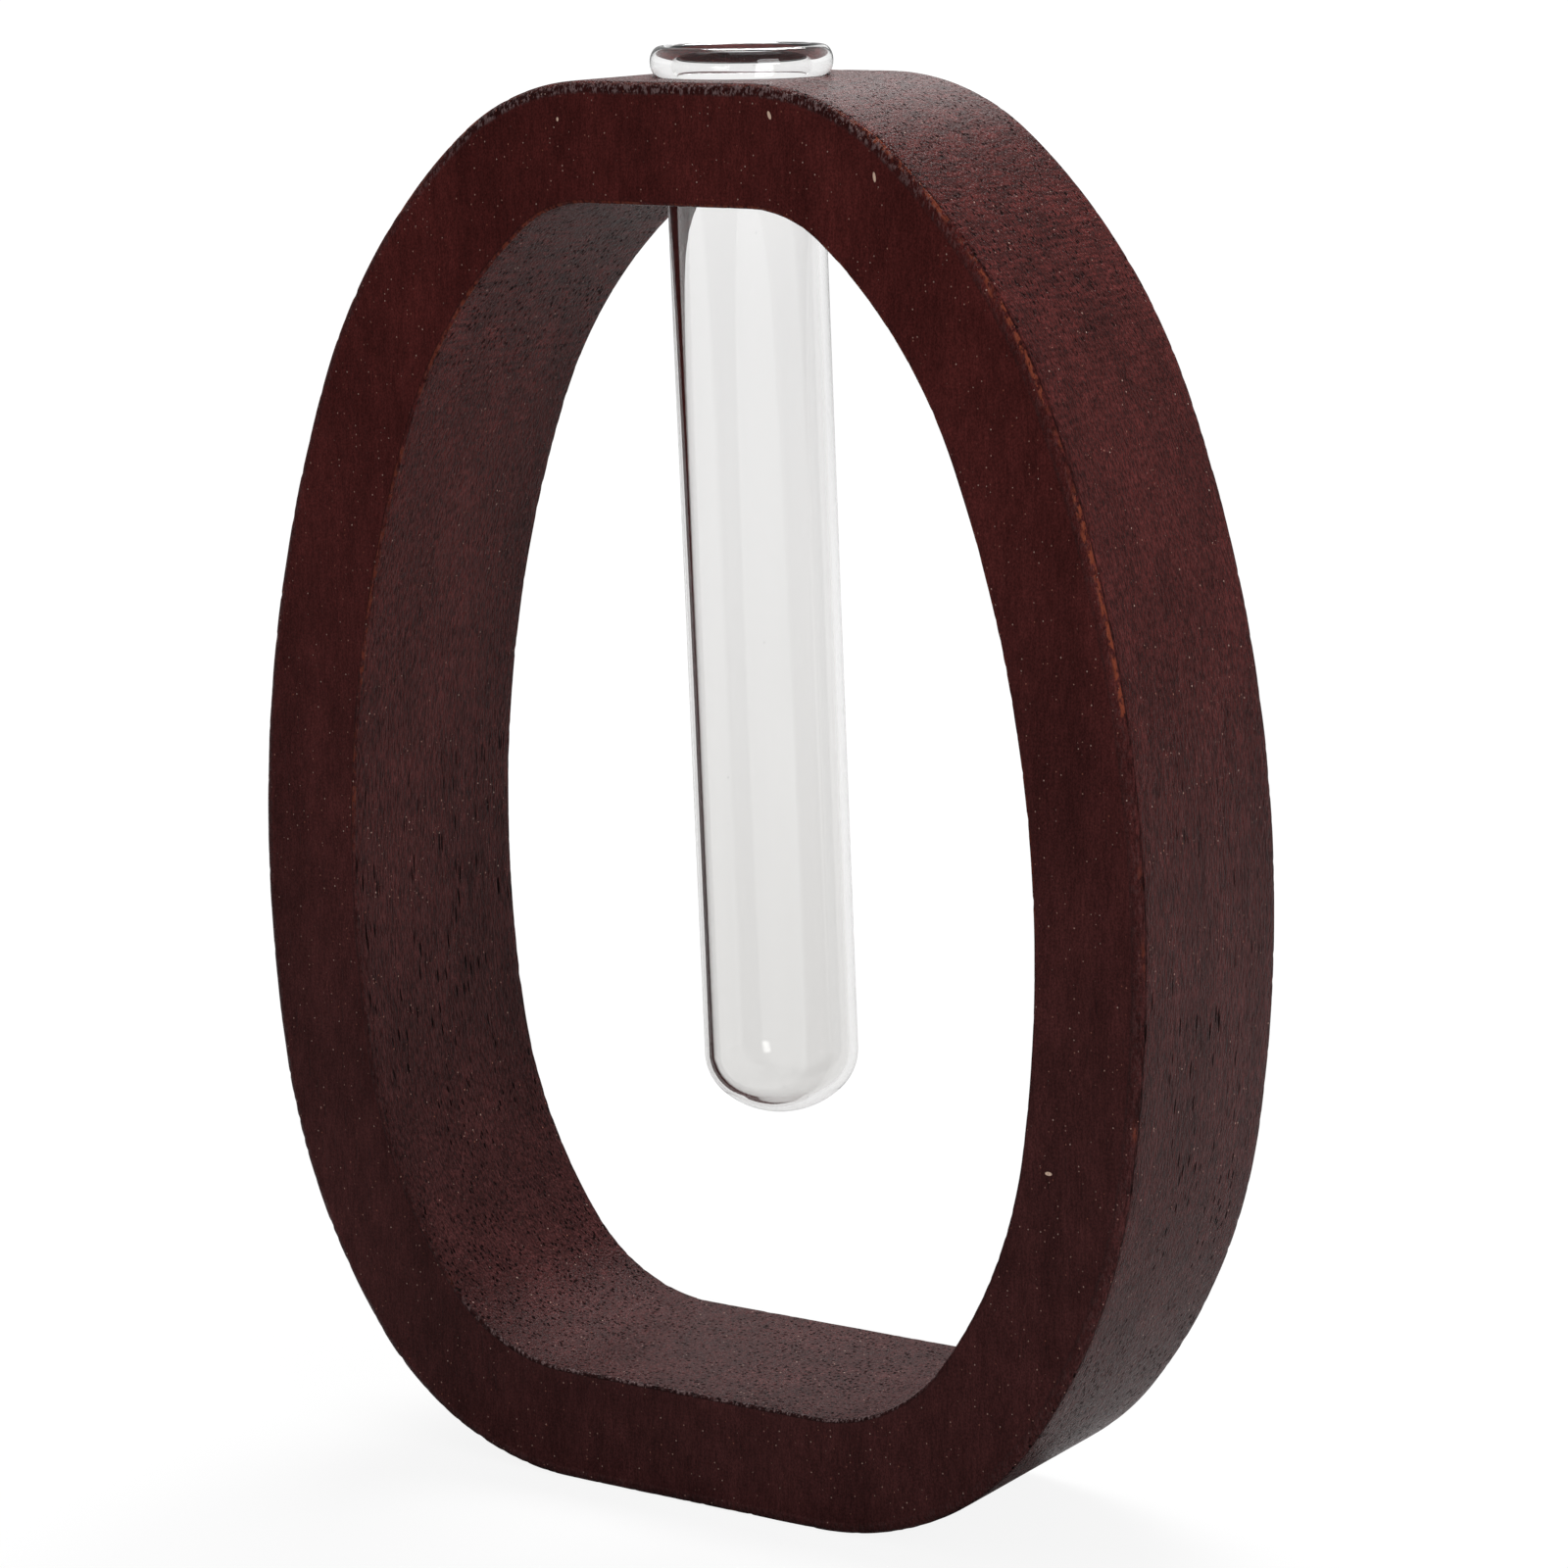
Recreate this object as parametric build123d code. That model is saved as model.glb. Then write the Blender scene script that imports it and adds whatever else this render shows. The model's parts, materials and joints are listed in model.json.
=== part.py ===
from build123d import *
import math
import os

# Test tube vase. A one-piece wooden ring stands on its flat foot, and a round-bottomed glass
# tube hangs by its bead in a hole drilled down through the top of the ring.
# Millimetres and degrees. X runs across the ring, Y through its depth, +Z is up. The origin is
# on the table, under the middle of the ring.

# Wooden ring
frame_height = 200.0
frame_width = 146.6
frame_depth = 38.0
ring_wall = 16.6
widest_height = 86.0
base_flat = 42.0
outer_edge_rounding = 1.2
inner_edge_bevel = 0.5
hole_edge_bevel = 0.25

# Outline of the ring, as shares. A corner's radius is a share of the room beside the flat that
# it starts from. Its turn and the flank's radius are shares of those of a plain two-arc corner.
shoulder_radius_share = 0.57
shoulder_turn_share = 0.74
upper_flank_share = 1.16
heel_radius_share = 0.81
heel_turn_share = 0.83
lower_flank_share = 1.45

# Glass tube
tube_length = 150.0
tube_diameter = 21.8
glass_thickness = 1.2
bead_overhang = 1.7
bead_height = 4.3
bead_seam_turn = 45.0
neck_height = 0.3

# How the tube hangs: its bead lies level on the hole's rim. The tube isn't quite square to its
# bead, so it leans in its loose hole, with its foot towards +X.
tube_lean = 1.8
side_clearance = 0.15
seat_clearance = 0.05
bead_margin = 0.4

# Sizes that follow from the ones above
tube_radius = tube_diameter / 2
bore_radius = tube_radius - glass_thickness
bead_radius = tube_radius + bead_overhang
bead_middle_radius = (bead_radius + bore_radius) / 2
bead_half_width = (bead_radius - bore_radius) / 2
bead_half_height = bead_height / 2
lean = math.radians(tube_lean)
hole_radius = tube_radius / math.cos(lean) + ring_wall * math.tan(lean) + side_clearance
hole_middle_height = frame_height - ring_wall / 2
rim_radius = hole_radius + hole_edge_bevel
top_flat = 2 * (bead_radius + bead_margin)

# The bead's oval section rests on the hole's rim, and runs out into the tube's wall below. A short
# upright neck comes next, and then the leaning body. The bead's foot and the neck's end are
# measured down from the bead's middle.
rim_share = (rim_radius - bead_middle_radius) / bead_half_width
foot_share = (bead_middle_radius - tube_radius) / bead_half_width
bead_middle_height = frame_height + seat_clearance + bead_half_height * math.sqrt(1 - rim_share**2)
bead_foot = bead_half_height * math.sqrt(1 - foot_share**2)
neck_end = bead_foot + neck_height
body_length = tube_length - bead_half_height - neck_end


def around(centre, radius, turn):
    """Point on a circle, at a turn measured from straight up towards +X."""
    return (centre[0] + radius * math.sin(turn), centre[1] + radius * math.cos(turn))


def corner_arcs(flat, rise, radius_share, turn_share, flank_share):
    """Three tangent arcs from the end of a flat to the ring's widest level.

    The flat lies level at the given rise above the widest level, which is height zero here.
    Each arc is its centre, radius, first turn and last turn.
    """
    half_width = frame_width / 2
    room = half_width - flat / 2
    radius = radius_share * room
    centre = (flat / 2, rise - radius)

    # A plain corner: this arc, then one flank arc that ends upright at the widest level
    plain_flank = (room**2 + centre[1] ** 2 - radius**2) / (2 * (room - radius))
    turn = turn_share * math.atan2(centre[0] - half_width + plain_flank, centre[1])

    # A flatter flank, and a middle arc that is tangent to both
    flank = flank_share * plain_flank
    flank_centre = (half_width - flank, 0)
    across, up = centre[0] - flank_centre[0], centre[1]
    along = across * math.sin(turn) + up * math.cos(turn)
    middle = (across**2 + up**2 + 2 * radius * along + radius**2 - flank**2) / (
        2 * (along + radius - flank)
    )
    middle_centre = around(centre, radius - middle, turn)
    flank_turn = math.atan2(middle_centre[0] - flank_centre[0], middle_centre[1])
    return [
        (centre, radius, 0, turn),
        (middle_centre, middle, turn, flank_turn),
        (flank_centre, flank, flank_turn, math.pi / 2),
    ]


def half_outline(inset):
    """Points of the right half of the outline, from the top flat down to the base flat.

    They come in threes, the start, middle and end of each arc, moved inwards by the inset.
    """
    above = frame_height - widest_height
    upper = corner_arcs(top_flat, above, shoulder_radius_share, shoulder_turn_share, upper_flank_share)
    lower = corner_arcs(base_flat, widest_height, heel_radius_share, heel_turn_share, lower_flank_share)
    arcs = []
    for centre, radius, first, last in upper:
        points = [around(centre, radius - inset, turn) for turn in (first, (first + last) / 2, last)]
        arcs.append([(x, widest_height + rise) for x, rise in points])
    for centre, radius, first, last in reversed(lower):
        points = [around(centre, radius - inset, turn) for turn in (last, (first + last) / 2, first)]
        arcs.append([(x, widest_height - rise) for x, rise in points])
    return arcs


def outline_face(inset):
    """Face inside the ring's outline, upright in the plane of X and Z."""
    right = half_outline(inset)
    left = [[(-x, z) for x, z in reversed(points)] for points in reversed(right)]
    edges = [ThreePointArc(*points) for points in right + left]
    edges.append(Line(right[-1][-1], left[0][0]))
    edges.append(Line(left[-1][-1], right[0][0]))
    return Plane.XZ * make_face(edges)


def wooden_frame():
    """Ring of one thickness all round, its long edges eased, with the tube's hole in its top."""
    profile = outline_face(0) - outline_face(ring_wall)
    ring = extrude(profile, frame_depth / 2, both=True)
    outer_wires = [face.outer_wire() for face in ring.faces().filter_by(Axis.Y)]
    ring = fillet([edge for wire in outer_wires for edge in wire.edges()], outer_edge_rounding)
    inner_wires = [face.inner_wires()[0] for face in ring.faces().filter_by(Axis.Y)]
    ring = chamfer([edge for wire in inner_wires for edge in wire.edges()], inner_edge_bevel)

    ring -= Pos(0, 0, hole_middle_height) * Cylinder(hole_radius, 2 * ring_wall)
    round_faces = ring.faces().filter_by(GeomType.CYLINDER)
    hole_wall = round_faces.sort_by(lambda face: abs(face.radius - hole_radius))[0]
    return chamfer(hole_wall.edges().filter_by(GeomType.CIRCLE), hole_edge_bevel)


def bead_arc(start, end):
    """Part of the bead's oval, between two turns about its middle, counted up from outwards."""
    middle = (bead_middle_radius, 0)
    return EllipticalCenterArc(
        middle, bead_half_width, bead_half_height, start_angle=start, arc_size=end - start
    )


def bead_and_neck():
    """The bead, centred on the origin, and the upright neck, longer than it will be."""
    first_turn = -90 - math.degrees(math.asin(foot_share))
    bead = [bead_arc(first_turn, bead_seam_turn), bead_arc(bead_seam_turn, 180)]
    low = -neck_end - neck_height
    profile = bead + [
        Line(bead[1] @ 1, (bore_radius, low)),
        Line((bore_radius, low), (tube_radius, low)),
        Line((tube_radius, low), bead[0] @ 0),
    ]
    return revolve(Plane.XZ * make_face(profile), Axis.Z)


def rod(radius):
    """Upright rod with a half-round bottom, up to just past the neck's end."""
    bottom = tube_radius - body_length
    profile = [
        CenterArc((0, bottom), radius, start_angle=-90, arc_size=90),
        Line((radius, bottom), (radius, neck_height)),
        Line((radius, neck_height), (0, neck_height)),
        Line((0, neck_height), (0, bottom - radius)),
    ]
    return revolve(Plane.XZ * make_face(profile), Axis.Z)


def test_tube():
    """Glass tube hung in the hole: its neck and its leaning body meet in a mitre."""
    mitre = Plane((0, 0, -neck_end), z_dir=(-math.sin(lean / 2), 0, math.cos(lean / 2)))
    head = split(bead_and_neck(), mitre, Keep.TOP)
    body = rod(tube_radius) - rod(bore_radius)
    body = split(Pos(0, 0, -neck_end) * Rot(0, -tube_lean, 0) * body, mitre, Keep.BOTTOM)
    return Pos(0, 0, bead_middle_height) * (head + body)


os.makedirs("parts", exist_ok=True)
for name, part in (("wooden_frame", wooden_frame()), ("test_tube", test_tube())):
    part.label = name
    export_step(part, f"parts/{name}.step")
    print(name, "volume", round(part.volume), "mm3")
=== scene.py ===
"""Test tube vase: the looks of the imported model, on a pale floor under soft light.

A ring of dark stained wood stands on its flat foot, and a clear glass tube hangs in its top.
Metres, in the frame of the CAD model: X across the ring, Y through its depth, +Z up.
"""

import json
import math

import bpy
from mathutils import Matrix, Vector, noise


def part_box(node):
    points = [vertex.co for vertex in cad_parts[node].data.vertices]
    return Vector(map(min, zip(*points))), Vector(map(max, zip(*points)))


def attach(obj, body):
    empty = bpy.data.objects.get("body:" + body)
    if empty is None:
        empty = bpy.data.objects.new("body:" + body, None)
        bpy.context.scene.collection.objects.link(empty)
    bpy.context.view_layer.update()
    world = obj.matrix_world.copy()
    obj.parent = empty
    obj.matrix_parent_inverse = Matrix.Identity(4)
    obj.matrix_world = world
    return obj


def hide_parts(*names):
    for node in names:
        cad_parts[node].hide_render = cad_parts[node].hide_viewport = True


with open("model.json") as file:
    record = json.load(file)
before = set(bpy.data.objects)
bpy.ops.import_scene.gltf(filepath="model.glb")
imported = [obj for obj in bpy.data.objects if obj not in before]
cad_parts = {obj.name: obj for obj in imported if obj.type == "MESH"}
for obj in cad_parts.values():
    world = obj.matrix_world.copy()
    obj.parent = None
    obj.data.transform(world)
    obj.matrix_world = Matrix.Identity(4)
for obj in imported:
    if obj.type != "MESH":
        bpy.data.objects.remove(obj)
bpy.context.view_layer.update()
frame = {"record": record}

MM = 0.001

# Wooden ring: its box comes from the frame, and the other sizes are those of the solid
ring_low, ring_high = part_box("wooden_frame")
ring_width = ring_high.x - ring_low.x
ring_depth = ring_high.y - ring_low.y
ring_height = ring_high.z
ring_wall = 16.6 * MM
widest_height = 86 * MM
base_flat = 42 * MM
outer_edge_rounding = 1.2 * MM
inner_edge_rounding = 0.5 * MM
hole_edge_bevel = 0.25 * MM

# The outline's corners: the radius of the corner's arc as a share of the room beside the flat,
# then its turn and the flank's radius as shares of those of a plain corner of two arcs
shoulder_shares = (0.57, 0.74, 1.16)
heel_shares = (0.81, 0.83, 1.45)

# Glass tube: its bore is a mount of the record. The bead is level, and the body under it leans.
bore = next(mount for mount in frame["record"]["mounts"] if mount["name"] == "tube_mouth")
tube_axis = Vector(bore["axis"])
tube_lean = math.atan2(-tube_axis.x, tube_axis.z)
bore_radius = bore["dims"]["r_mm"] * MM
bore_length = bore["dims"]["length_mm"] * MM
neck_end = Vector(bore["pos_m"]) + tube_axis * bore_length / 2
neck_height = 0.3 * MM
glass_thickness = 1.2 * MM
tube_radius = bore_radius + glass_thickness
bead_overhang = 1.7 * MM
bead_radius = tube_radius + bead_overhang
bead_half_height = 2.15 * MM
bead_middle_radius = (bead_radius + bore_radius) / 2
bead_half_width = (bead_radius - bore_radius) / 2
bead_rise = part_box("test_tube")[1].z - bead_half_height - neck_end.z

# Foot of the tube: a wide arc at its tip runs into a tighter one at its corner. Like the bead's,
# its rise is counted along the tube from the neck's end.
foot_rise = -bore_length - tube_radius
foot_tip_radius = 12.5 * MM
foot_corner_radius = 7.5 * MM
foot_corner_across = tube_radius - foot_corner_radius
foot_turn = math.asin(foot_corner_across / (foot_tip_radius - foot_corner_radius))

# The hole that the tube hangs in, wide enough for its lean, and the flat that the bead lies on
hole_side_clearance = 0.15 * MM
hole_lean_room = ring_wall * math.tan(tube_lean)
hole_radius = tube_radius / math.cos(tube_lean) + hole_lean_room + hole_side_clearance
bead_margin = 0.4 * MM
top_flat = 2 * (bead_radius + bead_margin)

# Wear of the ring's long edges. Gaps and reaches are in millimetres from the edge.
outer_wear_reach = 1.5
outer_wear_depth = 0.3 * MM
inner_wear_reach = 0.8
inner_wear_depth = 0.15 * MM
sanding_cell = 6 * MM
sanding_share = 0.5
knock_cell = 1.3 * MM
knock_share = 1.6
knock_threshold = 0.15
far_from_edges = 9.0

# Fineness of the meshes
outline_spacing = 0.62 * MM
wall_cuts = 24
outer_rounding_cuts = 8
inner_rounding_cuts = 3
face_cuts = 14
top_loop_shares = (0.35, 0.7)
under_loop_shares = (0.3, 0.65)
tube_sides = 160
foot_cuts = 20
body_cuts = 60
neck_cuts = 4
bead_cuts = 56

# Colours, and the heights between which the wood and the glass change from foot to top. The change
# is
# painted light: the wood redder and paler upwards, and the glass greyer towards its foot as
# painted shade
stain_and_painted_light_at_foot = (0.046, 0.0140, 0.0138, 1)
stain_and_painted_light_at_top = (0.062, 0.0118, 0.0108, 1)
bare_wood = (0.20, 0.046, 0.024, 1)
# Painted highlight: the pale grey-pink of the frays on edges that look up
fray_highlight_colour = (0.24, 0.16, 0.16, 1)
splinter_wood = (0.62, 0.44, 0.34, 1)
pale_fleck = (0.56, 0.40, 0.34, 1)
orange_fleck = (0.28, 0.09, 0.055, 1)
glass_with_painted_shade_at_foot = (0.845, 0.84, 0.832, 1)
glass_at_top = (0.92, 0.917, 0.915, 1)
glass_speck = (0.35, 0.35, 0.35, 1)
floor_grey = (0.44, 0.44, 0.44, 1)
white = (1, 1, 1, 1)
painted_light_heights = (40 * MM, 190 * MM)

# Relief of the surfaces
pore_depth = 0.15 * MM
grit_height = 0.28 * MM
fray_height = 0.4 * MM
ripple_height = 0.003 * MM

# Shaders. The floor's glow hides its own shading, a little less so near the vase, where a faint
# shadow is left that fades out between two distances. The world looks whiter than it lights.
wood_ior = 1.5
wood_specular = 0.03
glass_ior = 1.47
floor_glow = 1.08
glow_near_vase = 0.82
shadow_fade = (0.4, 3)
world_light = 0.45
world_seen = 1.0

# Pale splinters on the front face: x, z, half-width and half-length in metres, tilt in degrees
splinters = (
    (16.9 * MM, 195.9 * MM, 0.28 * MM, 0.65 * MM, -20),
    (33.2 * MM, 188.2 * MM, 0.24 * MM, 0.75 * MM, -8),
    (59.0 * MM, 57.0 * MM, 0.60 * MM, 0.30 * MM, 0),
    (-17.6 * MM, 194.7 * MM, 0.20 * MM, 0.32 * MM, 0),
)
splinter_reach = 0.5 * MM

# Floor, and the camera that was fitted to the ring's outlines in the photograph. Its turns are
# yaw, pitch and roll in degrees, and its lens and sensor are in millimetres.
floor_half_width = 60.0
camera_place = Vector((369.553, -555.51, 231.991)) * MM
camera_turns = (33.2507, 11.1189, -0.7874)
camera_lens = 110.644
camera_sensor = 36
camera_clip = (0.01, 50)


# Node helpers. A pair of numbers is the two ends of a range.

def put(tree, socket, value):
    """Gives a socket a plain value, or links it from another node's socket."""
    if isinstance(value, bpy.types.NodeSocket):
        tree.links.new(value, socket)
    else:
        socket.default_value = value


def add(tree, kind, settings=None, **inputs):
    """A shader node with its settings, and its inputs by name, with _ for a space."""
    made = tree.nodes.new("ShaderNode" + kind)
    for name, value in (settings or {}).items():
        setattr(made, name, value)
    for name, value in inputs.items():
        put(tree, made.inputs[name.replace("_", " ")], value)
    return made


def calc(tree, operation, *values):
    """The result of a math operation on the values."""
    made = add(tree, "Math", {"operation": operation})
    for socket, value in zip(made.inputs, values):
        put(tree, socket, value)
    return made.outputs[0]


def product(tree, *values):
    """All the values multiplied together."""
    result = values[0]
    for value in values[1:]:
        result = calc(tree, "MULTIPLY", result, value)
    return result


def span(tree, value, ends, results=(0, 1)):
    """The value's place between two ends, eased, as a number between two results."""
    made = add(tree, "MapRange", {"interpolation_type": "SMOOTHSTEP"}, Value=value)
    for name, number in zip(("From Min", "From Max", "To Min", "To Max"), (*ends, *results)):
        put(tree, made.inputs[name], number)
    return made.outputs["Result"]


def blend_colour(tree, share, first, second, mode="MIX"):
    """Two colours mixed by a share."""
    made = add(tree, "Mix", {"data_type": "RGBA", "blend_type": mode})
    for name, value in (("Factor_Float", share), ("A_Color", first), ("B_Color", second)):
        put(tree, next(socket for socket in made.inputs if socket.identifier == name), value)
    return next(socket for socket in made.outputs if socket.identifier == "Result_Color")


def shaded(tree, colour, shade):
    """The colour made darker or lighter by a factor."""
    grey = add(tree, "CombineColor", Red=shade, Green=shade, Blue=shade).outputs[0]
    return blend_colour(tree, 1.0, colour, grey, "MULTIPLY")


def own_place(tree):
    """The shaded point in its object's own coordinates, which are the frame's at rest."""
    return add(tree, "TexCoord").outputs["Object"]


def own_height(tree):
    """Height of the shaded point above the table, at rest."""
    return add(tree, "SeparateXYZ", Vector=own_place(tree)).outputs["Z"]


def length(tree, vector):
    """Length of a vector."""
    return add(tree, "VectorMath", {"operation": "LENGTH"}, Vector=vector).outputs["Value"]


def attribute(tree, name):
    """A number that the mesh carries at each vertex."""
    return add(tree, "Attribute", {"attribute_name": name}).outputs["Fac"]


def stretched(tree, across, along, deep=None):
    """The shaded point counted in cells of these lengths across, along and through the board."""
    cells = {"Vector": own_place(tree), "Scale": (across, deep or across, along)}
    return add(tree, "Mapping", {"vector_type": "TEXTURE"}, **cells).outputs["Vector"]


def grain_noise(tree, across, along, detail=2.0, roughness=0.5, deep=None):
    """Noise from 0 to 1 in cells of these lengths across, along and through the board."""
    cells = stretched(tree, across, along, deep)
    made = add(tree, "TexNoise", Vector=cells, Scale=1.0, Detail=detail, Roughness=roughness)
    return made.outputs["Fac"]


def variation(tree, across, along, results, ends=(0.3, 0.7), **kind):
    """Grain noise that runs between two results, most of its values lying between the ends."""
    return span(tree, grain_noise(tree, across, along, **kind), ends, results)


def grain_cells(tree, across, along):
    """Distance to the nearest of scattered points, in cells, and each cell's random colour."""
    made = add(tree, "TexVoronoi", Vector=stretched(tree, across, along), Scale=1.0)
    return made.outputs["Distance"], made.outputs["Color"]


def random_numbers(tree, cell_colour):
    """A cell's three random numbers, from its colour."""
    return add(tree, "SeparateColor", Color=cell_colour).outputs


def relief(tree, rise):
    """Normals of a surface that rises by so many metres."""
    return add(tree, "Bump", Height=rise, Strength=1.0, Distance=1.0).outputs["Normal"]


def new_material(name):
    """An empty node material with its output."""
    material = bpy.data.materials.new(name)
    material.use_nodes = True
    material.node_tree.nodes.clear()
    return material, material.node_tree, add(material.node_tree, "OutputMaterial")


# Stained wood. Its flatness is 1 on the front and the back, and 0 on the walls between them.

def open_pores(tree, height, end_grain, openness):
    """Pores from 0 to 1: short ones where the grain ends, and long slits, fewer high up.

    The slits gather in places. All are fainter on the flat faces.
    """
    pore_gap = grain_cells(tree, 0.9 * MM, 2.8 * MM)[0]
    pores = product(tree, span(tree, pore_gap, (0.17, 0.29), (0.9, 0)), end_grain)

    slit_gap, slit_colour = grain_cells(tree, 0.85 * MM, 7 * MM)
    chosen = span(tree, random_numbers(tree, slit_colour)["Red"], (0.2, 0.25))
    gathered = variation(tree, 9 * MM, 35 * MM, (0, 1), ends=(0.4, 0.55))
    fewer = span(tree, height, (70 * MM, 120 * MM), (1, 0.45))
    slit = span(tree, slit_gap, (0.17, 0.25), (1, 0))
    slits = product(tree, slit, chosen, product(tree, gathered, fewer))
    return product(tree, calc(tree, "MAXIMUM", pores, slits), openness)


def stain_shade(tree, height, end_grain, openness, pores):
    """Factor on the stain: patches, faint upright bands, blotches, a fine mottle and dark pores.

    Fine fibre runs upright, strongest on the walls, and fine rows run from front to back where
    the grain ends.
    """
    patches = variation(tree, 14 * MM, 40 * MM, (0.85, 1.15), detail=5, roughness=0.6)
    bands = variation(tree, 3.5 * MM, 90 * MM, (0.92, 1.08), ends=(0.25, 0.75))
    mottle = variation(tree, 0.24 * MM, 0.34 * MM, (0.7, 1.3), roughness=0.6)
    blotches = variation(tree, 3 * MM, 6 * MM, (0.86, 1.14), detail=4, roughness=0.6)
    shade = product(tree, product(tree, bands, mottle), product(tree, patches, blotches))

    fine = (0.35, 0.65)
    fibre = variation(
        tree, 0.3 * MM, 2.2 * MM, (-0.5, 0.5), ends=fine, detail=3, roughness=0.6
    )
    rows = variation(tree, 0.45 * MM, 0.6 * MM, (-0.35, 0.35), ends=fine, deep=5 * MM)
    rows = product(tree, rows, span(tree, height, (90 * MM, 150 * MM), (0.35, 1)))
    return product(
        tree,
        shade,
        span(tree, pores, (0, 1), (1, 0.1)),
        calc(tree, "ADD", product(tree, fibre, openness), 1.0),
        calc(tree, "ADD", product(tree, rows, end_grain), 1.0),
    )


def edge_sides(tree, flatness, on_inner_edge):
    """Zones of the long edges, each from 0 to 1: the wall's side, the middle and the face's side.

    The sides carry a painted shade line, the face's side also the painted highlights of the frays,
    and the middle the chips of bare wood.
    """
    outer_gap = attribute(tree, "outer_edge_gap")
    on_outer_edge = span(tree, outer_gap, (0.9, 1.3), (1, 0))
    wall_side = product(tree, on_outer_edge, span(tree, flatness, (0.25, 0.5), (1, 0)))
    from_wall = span(tree, flatness, (0.35, 0.5))
    from_face = span(tree, flatness, (0.7, 0.9), (1, 0))
    middle = product(tree, on_outer_edge, from_wall, from_face)
    middle = calc(tree, "MAXIMUM", middle, product(tree, on_inner_edge, 0.5))
    near_edge = span(tree, outer_gap, (1.3, 1.9), (1, 0))
    face_side = product(tree, near_edge, span(tree, flatness, (0.55, 0.75)))
    return wall_side, middle, calc(tree, "MAXIMUM", face_side, on_inner_edge)


def bare_chips(tree, height, middle, edge_rise, inner_looks_up):
    """Chips of bare wood along the edges' middle, from 0 to 1.

    They come in runs, fewer towards the foot and on the level top, and not on inner edges that
    look up.
    """
    chip = grain_noise(tree, 0.7 * MM, 1.6 * MM, detail=4, roughness=0.65)
    run = grain_noise(tree, 7 * MM, 14 * MM)
    run = calc(tree, "ADD", run, span(tree, height, (30 * MM, 150 * MM), (-0.25, 0)))
    placed = product(tree, span(tree, run, (0.36, 0.48)), span(tree, chip, (0.45, 0.55)))
    spared = span(tree, inner_looks_up, (0.2, 0.8), (1, 0))
    return product(tree, middle, placed, spared, span(tree, edge_rise, (0.8, 0.97), (1, 0.2)))


def splinter_gap(tree, x, z, across, along, tilt):
    """Distance from a splinter's middle on the front face, which is 1 at its rim."""
    settings = {
        "Location": (x, -ring_depth / 2, z),
        "Rotation": (0, math.radians(tilt), 0),
        "Scale": (across, splinter_reach, along),
    }
    made = add(tree, "Mapping", {"vector_type": "TEXTURE"}, Vector=own_place(tree), **settings)
    return length(tree, made.outputs["Vector"])


def flecked(tree, colour, flatness):
    """The colour with flecks of dust and raised fibre, most of them tiny, and the splinters."""
    fleck_gap, fleck_colour = grain_cells(tree, 0.65 * MM, 0.75 * MM)
    numbers = random_numbers(tree, fleck_colour)
    fleck_size = span(tree, numbers["Green"], (0.4, 1.0), (0.08, 0.18))
    flecks = product(
        tree,
        calc(tree, "LESS_THAN", fleck_gap, fleck_size),
        span(tree, numbers["Red"], (0.68, 0.9), (0, 0.95)),
        span(tree, flatness, (0.5, 1.0), (1.0, 0.6)),
    )
    either = blend_colour(tree, numbers["Blue"], pale_fleck, orange_fleck)
    colour = blend_colour(tree, flecks, colour, either)
    for splinter in splinters:
        inside = span(tree, splinter_gap(tree, *splinter), (0.75, 1.0), (1, 0))
        colour = blend_colour(tree, inside, colour, splinter_wood)
    return colour


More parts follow.
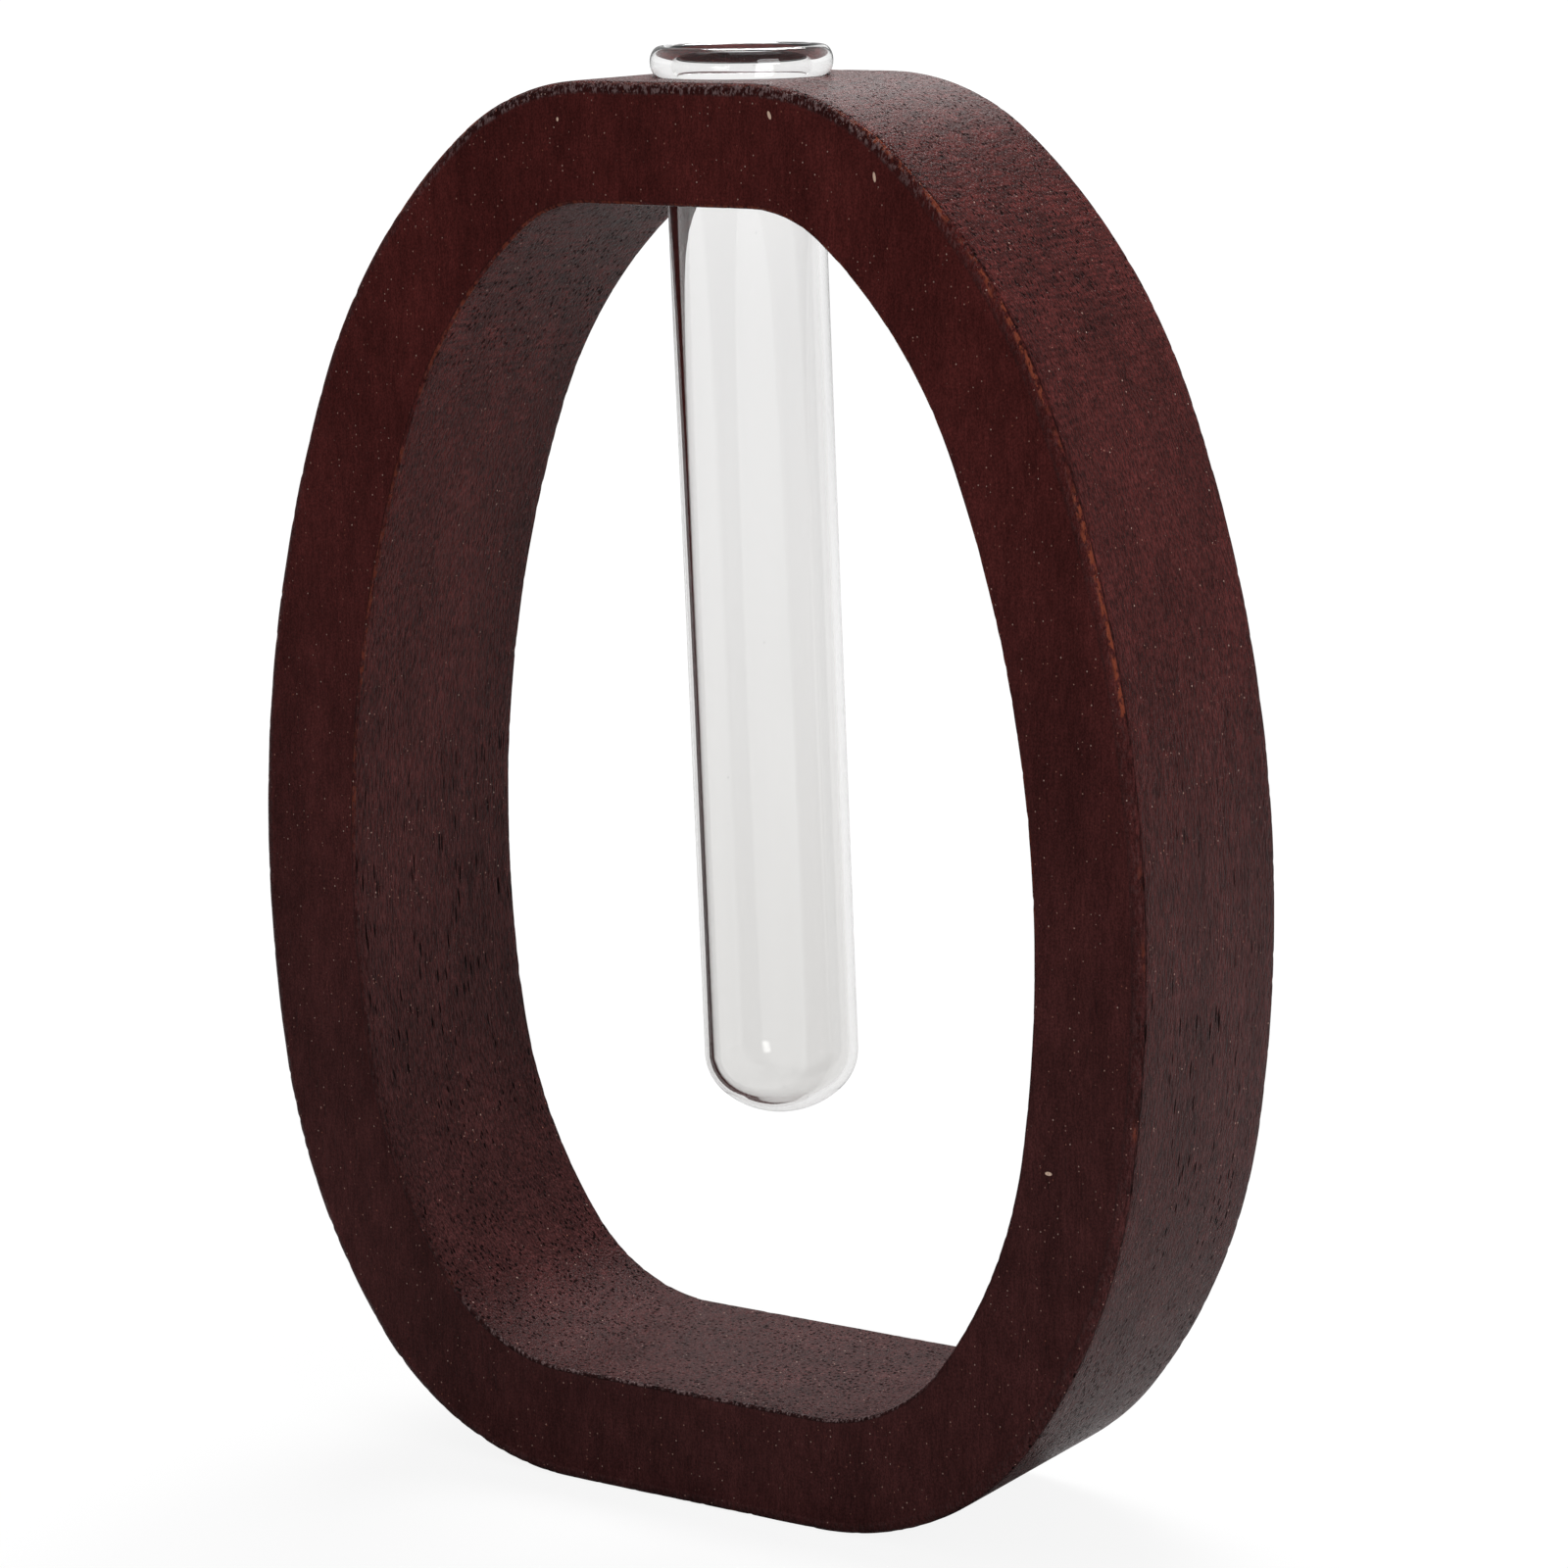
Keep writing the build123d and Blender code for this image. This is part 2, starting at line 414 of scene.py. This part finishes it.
def stained_wood():
    """Dark red-brown stain on open-pored wood, satin, with edges worn to the orange wood below."""
    material, tree, output = new_material("stained_wood")
    facing = add(tree, "SeparateXYZ", Vector=add(tree, "NewGeometry").outputs["Normal"]).outputs
    flatness = calc(tree, "ABSOLUTE", facing["Y"])
    end_grain = span(tree, calc(tree, "ABSOLUTE", facing["Z"]), (0.2, 0.65), (0.1, 1.0))
    openness = span(tree, flatness, (0.5, 1.0), (1.0, 0.3))
    height = own_height(tree)

    # Stain, with painted light: redder and paler towards the top
    pores = open_pores(tree, height, end_grain, openness)
    colour = blend_colour(tree, span(tree, height, painted_light_heights), stain_and_painted_light_at_foot, stain_and_painted_light_at_top)
    colour = shaded(tree, colour, stain_shade(tree, height, end_grain, openness, pores))

    # Long edges: a painted shade line on the wall's side, and on the face's side where the edge
    # looks up;
    # a broken line of bare orange wood along the middle; and pale frays on the face's side where
    # the edge looks up, painted as highlights
    edge_rise = attribute(tree, "edge_rise")
    looks_up = span(tree, edge_rise, (0.55, 0.95), (0.1, 1))
    on_inner_edge = span(tree, attribute(tree, "inner_edge_gap"), (0.35, 0.6), (1, 0))
    wall_side, middle, face_side = edge_sides(tree, flatness, on_inner_edge)
    # Painted shade: a dark line along the edges, on the face's side only where the edge looks up
    painted_edge_shade = calc(tree, "MAXIMUM", wall_side, product(tree, face_side, looks_up))
    colour = shaded(tree, colour, span(tree, painted_edge_shade, (0, 1), (1, 0.5)))
    inner_looks_up = product(tree, on_inner_edge, looks_up)
    chips = bare_chips(tree, height, middle, edge_rise, inner_looks_up)
    colour = blend_colour(tree, chips, colour, bare_wood)
    frayed = grain_noise(tree, 0.4 * MM, 0.9 * MM, detail=3, roughness=0.65)
    # The frays' pale colour is a painted highlight where the edge looks up
    fray_highlights = product(tree, looks_up, span(tree, frayed, (0.5, 0.6)))
    colour = blend_colour(tree, product(tree, face_side, fray_highlights, 0.6), colour, fray_highlight_colour)
    colour = flecked(tree, colour, flatness)

    # Relief: pores are cut in, and the grit and the frayed edges stand up
    grit = grain_noise(tree, 0.35 * MM, 1.0 * MM, detail=3)
    rough_edge = calc(tree, "MAXIMUM", middle, face_side)
    rise = product(tree, pores, -pore_depth)
    rise = calc(tree, "ADD", rise, product(tree, grit, grit_height, openness))
    rise = calc(tree, "ADD", rise, product(tree, rough_edge, frayed, fray_height))

    gloss = variation(tree, 0.8 * MM, 6 * MM, (0.20, 0.30))
    rough = calc(tree, "MAXIMUM", gloss, pores)
    normal = relief(tree, rise)
    shader = add(tree, "BsdfPrincipled", Base_Color=colour, Roughness=rough, Normal=normal)
    shader.inputs["IOR"].default_value = wood_ior
    shader.inputs["Specular IOR Level"].default_value = wood_specular
    put(tree, output.inputs["Surface"], shader.outputs[0])
    return material


# Glass and floor

def clear_glass():
    """Clear drawn glass, faintly grey, with fine upright ripples and a few specks, and painted
    shade that greys it towards its foot.
    """
    material, tree, output = new_material("clear_glass")
    # Painted shade: the glass greyer towards its foot
    painted_shade_fade = span(tree, own_height(tree), painted_light_heights)
    colour = blend_colour(tree, painted_shade_fade, glass_with_painted_shade_at_foot, glass_at_top)
    colour = shaded(tree, colour, variation(tree, 2.5 * MM, 400 * MM, (0.994, 1.004)))
    speck_gap, speck_colour = grain_cells(tree, 3.4 * MM, 7 * MM)
    chosen = span(tree, random_numbers(tree, speck_colour)["Red"], (0.78, 0.8))
    specks = product(tree, span(tree, speck_gap, (0.015, 0.03), (1, 0)), chosen)
    colour = blend_colour(tree, specks, colour, glass_speck)
    normal = relief(tree, product(tree, grain_noise(tree, 1.6 * MM, 250 * MM), ripple_height))
    shader = add(tree, "BsdfPrincipled", Base_Color=colour, Normal=normal)
    shader.inputs["Roughness"].default_value = 0.0
    shader.inputs["IOR"].default_value = glass_ior
    shader.inputs["Transmission Weight"].default_value = 1.0
    put(tree, output.inputs["Surface"], shader.outputs[0])
    return material


def seen_directly(tree):
    """1 for rays from the camera or through glass, and 0 for the light that falls on things."""
    paths = add(tree, "LightPath").outputs
    return calc(tree, "MAXIMUM", paths["Is Camera Ray"], paths["Is Transmission Ray"])


def pale_floor():
    """A plain floor that looks white and keeps a faint shadow round the vase."""
    material, tree, output = new_material("pale_floor")
    plain = add(tree, "BsdfDiffuse", Color=floor_grey)
    glowing = add(tree, "Emission", Color=white, Strength=floor_glow)
    glow = span(tree, length(tree, own_place(tree)), shadow_fade, (glow_near_vase, 1.0))
    mixed = add(tree, "MixShader", Fac=product(tree, seen_directly(tree), glow))
    put(tree, mixed.inputs[1], plain.outputs[0])
    put(tree, mixed.inputs[2], glowing.outputs[0])
    put(tree, output.inputs["Surface"], mixed.outputs[0])
    return material


# Mesh helpers

def steps(first, last, count):
    """Evenly spaced numbers from first, without last."""
    return [first + (last - first) * i / count for i in range(count)]


def finished(mesh):
    """A smooth-shaded object of the mesh, put in the scene."""
    mesh.validate()
    mesh.shade_smooth()
    made = bpy.data.objects.new(mesh.name, mesh)
    bpy.context.scene.collection.objects.link(made)
    return made


# Wooden ring

def around(centre, radius, turn):
    """Point on a circle, at a turn measured from straight up towards +X."""
    return centre[0] + radius * math.sin(turn), centre[1] + radius * math.cos(turn)


def corner_arcs(flat, rise, radius_share, turn_share, flank_share):
    """Three tangent arcs from the end of a flat to the widest level: centre, radius and turns."""
    half_width = ring_width / 2
    room = half_width - flat / 2
    radius = radius_share * room
    centre = (flat / 2, rise - radius)

    # A plain corner: this arc, then one flank arc that ends upright at the widest level
    plain_flank = (room**2 + centre[1] ** 2 - radius**2) / (2 * (room - radius))
    turn = turn_share * math.atan2(centre[0] - half_width + plain_flank, centre[1])

    # A flatter flank, and a middle arc that is tangent to both
    flank = flank_share * plain_flank
    flank_centre = (half_width - flank, 0)
    across, up = centre[0] - flank_centre[0], centre[1]
    along = across * math.sin(turn) + up * math.cos(turn)
    divisor = 2 * (along + radius - flank)
    middle = (across**2 + up**2 + 2 * radius * along + radius**2 - flank**2) / divisor
    middle_centre = around(centre, radius - middle, turn)
    flank_turn = math.atan2(middle_centre[0] - flank_centre[0], middle_centre[1])
    return [
        (centre, radius, 0, turn),
        (middle_centre, middle, turn, flank_turn),
        (flank_centre, flank, flank_turn, math.pi / 2),
    ]


def outline_stations():
    """Places round the ring's outline, and how many of them lie on the top flat.

    Each is (x, z, outward x, outward z). They start at the left end of the top flat and go
    clockwise, as seen from the front.
    """
    upper = corner_arcs(top_flat, ring_height - widest_height, *shoulder_shares)
    lower = corner_arcs(base_flat, widest_height, *heel_shares)
    arcs = [(centre, radius, first, last, 1) for centre, radius, first, last in upper]
    arcs += [(centre, radius, last, first, -1) for centre, radius, first, last in reversed(lower)]
    right = []
    for centre, radius, start, end, side in arcs:
        for turn in steps(start, end, round(radius * abs(end - start) / outline_spacing)):
            x, rise = around(centre, radius, turn)
            right.append((x, widest_height + side * rise, math.sin(turn), side * math.cos(turn)))
    left = [(-x, z, -out_x, out_z) for x, z, out_x, out_z in reversed(right[1:])]

    top_count = round(top_flat / outline_spacing)
    base_count = round(base_flat / outline_spacing)
    top = [(x, ring_height, 0, 1) for x in steps(-top_flat / 2, top_flat / 2, top_count)]
    base = [(x, 0, 0, -1) for x in steps(base_flat / 2, -base_flat / 2, base_count)]
    base.append((-base_flat / 2, 0, 0, -1))
    return top + right + base + left, top_count


def section_corner(inset, depth, radius, quarter, cuts):
    """Rounded corner of the section about its centre, through one quarter of a turn."""
    points = []
    for turn in steps(quarter * math.pi / 2, (quarter + 1) * math.pi / 2, cuts):
        c, s = math.cos(turn), math.sin(turn)
        points.append((inset - radius * c, depth + radius * s, c, -s))
    return points


def ring_section():
    """Closed section of the ring's wall as (inset, depth, inward inset, inward depth).

    It starts at the front of the outer wall and goes back, in, forward and out again.
    """
    half = ring_depth / 2
    outer, outer_end = outer_edge_rounding, half - outer_edge_rounding
    inner, inner_end = inner_edge_rounding, half - inner_edge_rounding
    inner_inset = ring_wall - inner
    points = [(0, depth, 1, 0) for depth in steps(-outer_end, outer_end, wall_cuts)]
    points += section_corner(outer, outer_end, outer, 0, outer_rounding_cuts)
    points += [(inset, half, 0, -1) for inset in steps(outer, inner_inset, face_cuts)]
    points += section_corner(inner_inset, inner_end, inner, 1, inner_rounding_cuts)
    points += [(ring_wall, depth, -1, 0) for depth in steps(inner_end, -inner_end, wall_cuts)]
    points += section_corner(inner_inset, -inner_end, inner, 2, inner_rounding_cuts)
    points += [(inset, -half, 0, 1) for inset in steps(inner_inset, outer, face_cuts)]
    points += section_corner(outer, -outer_end, outer, 3, outer_rounding_cuts)
    return points


def edge_gap(inset, depth, edge_inset):
    """Distance, in millimetres, from the nearer of the two long edges at this inset."""
    return math.hypot(inset - edge_inset, ring_depth / 2 - abs(depth)) / MM


def wear(place, gap, reach, depth):
    """How far sanding and knocks have taken an edge back at this place."""
    closeness = max(0.0, 1 - gap / reach)
    sanding = 0.5 + 0.5 * noise.noise(place / sanding_cell)
    knocks = max(0.0, noise.noise(place / knock_cell) - knock_threshold)
    return closeness * depth * (sanding_share * sanding + knock_share * knocks)


def wooden_ring():
    """The ring as one closed mesh: its section carried round the outline, its top drilled."""
    stations, top_count = outline_stations()
    section = ring_section()
    verts, faces = [], []
    outer_gaps, inner_gaps, rises = [], [], []

    def vertex(place, outer_gap=far_from_edges, inner_gap=far_from_edges, rise=0.0):
        verts.append(place)
        outer_gaps.append(outer_gap)
        inner_gaps.append(inner_gap)
        rises.append(rise)
        return len(verts) - 1

    grid = []
    for x, z, out_x, out_z in stations:
        row = []
        for inset, depth, in_inset, in_depth in section:
            place = Vector((x - out_x * inset, depth, z - out_z * inset))
            outer_gap = edge_gap(inset, depth, 0)
            inner_gap = edge_gap(inset, depth, ring_wall)
            back = wear(place, outer_gap, outer_wear_reach, outer_wear_depth)
            back += wear(place, inner_gap, inner_wear_reach, inner_wear_depth)
            place += back * Vector((-out_x * in_inset, in_depth, -out_z * in_inset))
            rise = out_z if inset < ring_wall / 2 else -out_z
            row.append(vertex(place, outer_gap, inner_gap, rise))
        grid.append(row)

    # The section's faces, but for those of the flat patches above and below the hole
    inner_start = wall_cuts + outer_rounding_cuts + face_cuts + inner_rounding_cuts
    inner_end = inner_start + wall_cuts
    for i, row in enumerate(grid):
        following = grid[(i + 1) % len(grid)]
        for j in range(len(section)):
            if i < top_count and (j < wall_cuts or inner_start <= j < inner_end):
                continue
            k = (j + 1) % len(section)
            faces.append((row[j], following[j], following[k], row[k]))

    def patch_border(first, last):
        """Vertices round the flat patch between two section points, on the top's stations."""
        step = 1 if last > first else -1
        border = [grid[i][first] for i in range(top_count)]
        border += [grid[top_count][j] for j in range(first, last, step)]
        border += [grid[i][last] for i in range(top_count, 0, -1)]
        return border + [grid[0][j] for j in range(last, first, -step)]

    upper_border = patch_border(0, wall_cuts)
    lower_border = patch_border(inner_end, inner_start)
    turns = [math.atan2(verts[v].y, verts[v].x) for v in upper_border]

    def circle(radius, height):
        """Loop of vertices about the hole's axis, one towards each of the border's."""
        places = [(radius * math.cos(turn), radius * math.sin(turn), height) for turn in turns]
        return [vertex(Vector(place)) for place in places]

    def between(first, second, share):
        """Loop of vertices that lies this share of the way from one loop to the next."""
        return [vertex(verts[a].lerp(verts[b], share)) for a, b in zip(first, second)]

    top, bottom = ring_height, ring_height - ring_wall
    rim_radius = hole_radius + hole_edge_bevel
    top_rim = circle(rim_radius, top)
    loops = [upper_border]
    loops += [between(upper_border, top_rim, share) for share in top_loop_shares]
    loops.append(top_rim)
    loops.append(circle(hole_radius, top - hole_edge_bevel))
    loops.append(circle(hole_radius, bottom + hole_edge_bevel))
    low_rim = circle(rim_radius, bottom)
    loops.append(low_rim)
    loops += [between(low_rim, lower_border, share) for share in under_loop_shares]
    loops.append(lower_border)
    for first, second in zip(loops, loops[1:]):
        for i in range(len(first)):
            k = (i + 1) % len(first)
            faces.append((first[i], first[k], second[k], second[i]))

    mesh = bpy.data.meshes.new("wooden_ring")
    mesh.from_pydata(verts, [], faces)
    named = (("outer_edge_gap", outer_gaps), ("inner_edge_gap", inner_gaps), ("edge_rise", rises))
    for name, values in named:
        mesh.attributes.new(name, "FLOAT", "POINT").data.foreach_set("value", values)
    return finished(mesh)


# Glass tube

def foot_arcs():
    """The two arcs of the tube's foot, its tip and its corner, as centres and radii."""
    tip_rise = foot_rise + foot_tip_radius
    corner_rise = tip_rise - (foot_tip_radius - foot_corner_radius) * math.cos(foot_turn)
    tip = (0, tip_rise, foot_tip_radius)
    return tip, (foot_corner_across, corner_rise, foot_corner_radius)


def foot_points(inset):
    """Section of the foot from its tip to the straight wall, moved into the glass by the inset."""
    points = []
    turns = (0, foot_turn, math.pi / 2)
    for (across, rise, radius), first, last in zip(foot_arcs(), turns, turns[1:]):
        reach = radius - inset
        for turn in steps(first, last, foot_cuts):
            points.append((across + reach * math.sin(turn), rise - reach * math.cos(turn)))
    return points


def tube_profile():
    """Section of the straight tube as (radius, rise above the neck's end).

    It goes from the tip of the foot up the outside, over the bead and down the inside.
    """
    wall_start = foot_arcs()[1][1]
    turn_below = math.pi / 2 + math.asin((bead_middle_radius - tube_radius) / bead_half_width)
    bead_foot = bead_rise - bead_half_height * math.sin(turn_below)
    points = foot_points(0)
    points += [(tube_radius, rise) for rise in steps(wall_start, -neck_height, body_cuts)]
    points += [(tube_radius, rise) for rise in steps(-neck_height, bead_foot, neck_cuts)]
    for turn in steps(-turn_below, math.pi, bead_cuts):
        across = bead_middle_radius + bead_half_width * math.cos(turn)
        points.append((across, bead_rise + bead_half_height * math.sin(turn)))
    points += [(bore_radius, rise) for rise in steps(bead_rise, neck_height, neck_cuts)]
    points += [(bore_radius, rise) for rise in steps(neck_height, -neck_height, neck_cuts)]
    points += [(bore_radius, rise) for rise in steps(-neck_height, wall_start, body_cuts)]
    points.append((bore_radius, wall_start))
    return points + foot_points(glass_thickness)[:0:-1]


def bent(x, y, rise):
    """A point of the tube, its neck bent so that the bead is level once the body leans."""
    above, below = max(0, rise - neck_height), max(0, -neck_height - rise)
    turn = tube_lean * min(1, max(0, (rise + neck_height) / (2 * neck_height)))
    bend_radius = neck_height / math.tan(tube_lean / 2)
    c, s = math.cos(turn), math.sin(turn)
    reach = bend_radius - x
    return bend_radius - reach * c + above * s, y, reach * s + above * c - below - neck_height


def glass_tube():
    """The tube, its section turned about its axis, hung by its bead and leaning in the hole."""
    profile = tube_profile()[1:]
    verts, faces = [], []
    for radius, rise in profile:
        for turn in steps(0, 2 * math.pi, tube_sides):
            verts.append(bent(radius * math.cos(turn), radius * math.sin(turn), rise))
    for row in range(len(profile) - 1):
        low, high = row * tube_sides, (row + 1) * tube_sides
        for i in range(tube_sides):
            k = (i + 1) % tube_sides
            faces.append((low + i, low + k, high + k, high + i))

    outer_tip, inner_tip = len(verts), len(verts) + 1
    verts += [(0, 0, foot_rise), (0, 0, foot_rise + glass_thickness)]
    last = (len(profile) - 1) * tube_sides
    for i in range(tube_sides):
        k = (i + 1) % tube_sides
        faces.append((outer_tip, k, i))
        faces.append((inner_tip, last + i, last + k))

    mesh = bpy.data.meshes.new("glass_tube")
    mesh.from_pydata(verts, [], faces)
    mesh.transform(Matrix.Translation(neck_end) @ Matrix.Rotation(-tube_lean, 4, "Y"))
    return finished(mesh)


# Stage, light and camera

def floor():
    """A large flat floor under the vase."""
    half = floor_half_width
    mesh = bpy.data.meshes.new("floor")
    corners = [(-half, -half, 0), (half, -half, 0), (half, half, 0), (-half, half, 0)]
    mesh.from_pydata(corners, [], [(0, 1, 2, 3)])
    made = finished(mesh)
    made.data.materials.append(pale_floor())


def white_world():
    """Even soft light from all round, which looks white where it is seen."""
    world = bpy.data.worlds.new("white_world")
    world.use_nodes = True
    tree = world.node_tree
    tree.nodes.clear()
    strength = span(tree, seen_directly(tree), (0, 1), (world_light, world_seen))
    sky = add(tree, "Background", Color=white, Strength=strength)
    put(tree, add(tree, "OutputWorld").inputs["Surface"], sky.outputs[0])
    bpy.context.scene.world = world


def softbox(name, place, size, watts, seen_in_glass=False):
    """A square lamp that faces the middle of the vase."""
    lamp = bpy.data.lights.new(name, "AREA")
    lamp.shape = "SQUARE"
    lamp.size = size
    lamp.energy = watts
    made = bpy.data.objects.new(name, lamp)
    bpy.context.scene.collection.objects.link(made)
    made.location = place
    aim = Vector((0, 0, ring_height / 2)) - Vector(place)
    made.rotation_mode = "QUATERNION"
    made.rotation_quaternion = aim.to_track_quat("-Z", "Y")
    made.visible_transmission = seen_in_glass


def camera():
    """The photograph's view: from the front right, a little above, with a long lens."""
    yaw, pitch, roll = (math.radians(angle) for angle in camera_turns)
    level_share = math.cos(pitch)
    forward = Vector(
        (-math.sin(yaw) * level_share, math.cos(yaw) * level_share, -math.sin(pitch))
    )
    level = forward.cross(Vector((0, 0, 1))).normalized()
    upright = level.cross(forward)
    right = math.cos(roll) * level + math.sin(roll) * upright
    up = -math.sin(roll) * level + math.cos(roll) * upright
    lens = bpy.data.cameras.new("camera")
    lens.sensor_width = camera_sensor
    lens.lens = camera_lens
    lens.clip_start, lens.clip_end = camera_clip
    made = bpy.data.objects.new("camera", lens)
    bpy.context.scene.collection.objects.link(made)
    turn = Matrix((right, up, -forward)).transposed().to_4x4()
    made.matrix_world = Matrix.Translation(camera_place) @ turn
    bpy.context.scene.camera = made


ring = wooden_ring()
ring.data.materials.append(stained_wood())
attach(ring, "frame")
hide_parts("wooden_frame")

tube = glass_tube()
tube.data.materials.append(clear_glass())
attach(tube, "tube")
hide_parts("test_tube")

floor()
white_world()
softbox("side_lamp", place=(0.75, -0.3, 0.34), size=0.4, watts=3.0, seen_in_glass=True)
softbox("top_lamp", place=(-0.35, 0.75, 1.4), size=0.8, watts=34)
softbox("back_lamp", place=(-0.6, 1.3, 0.65), size=0.5, watts=1.1)
camera()
bpy.context.scene.view_settings.view_transform = "Standard"
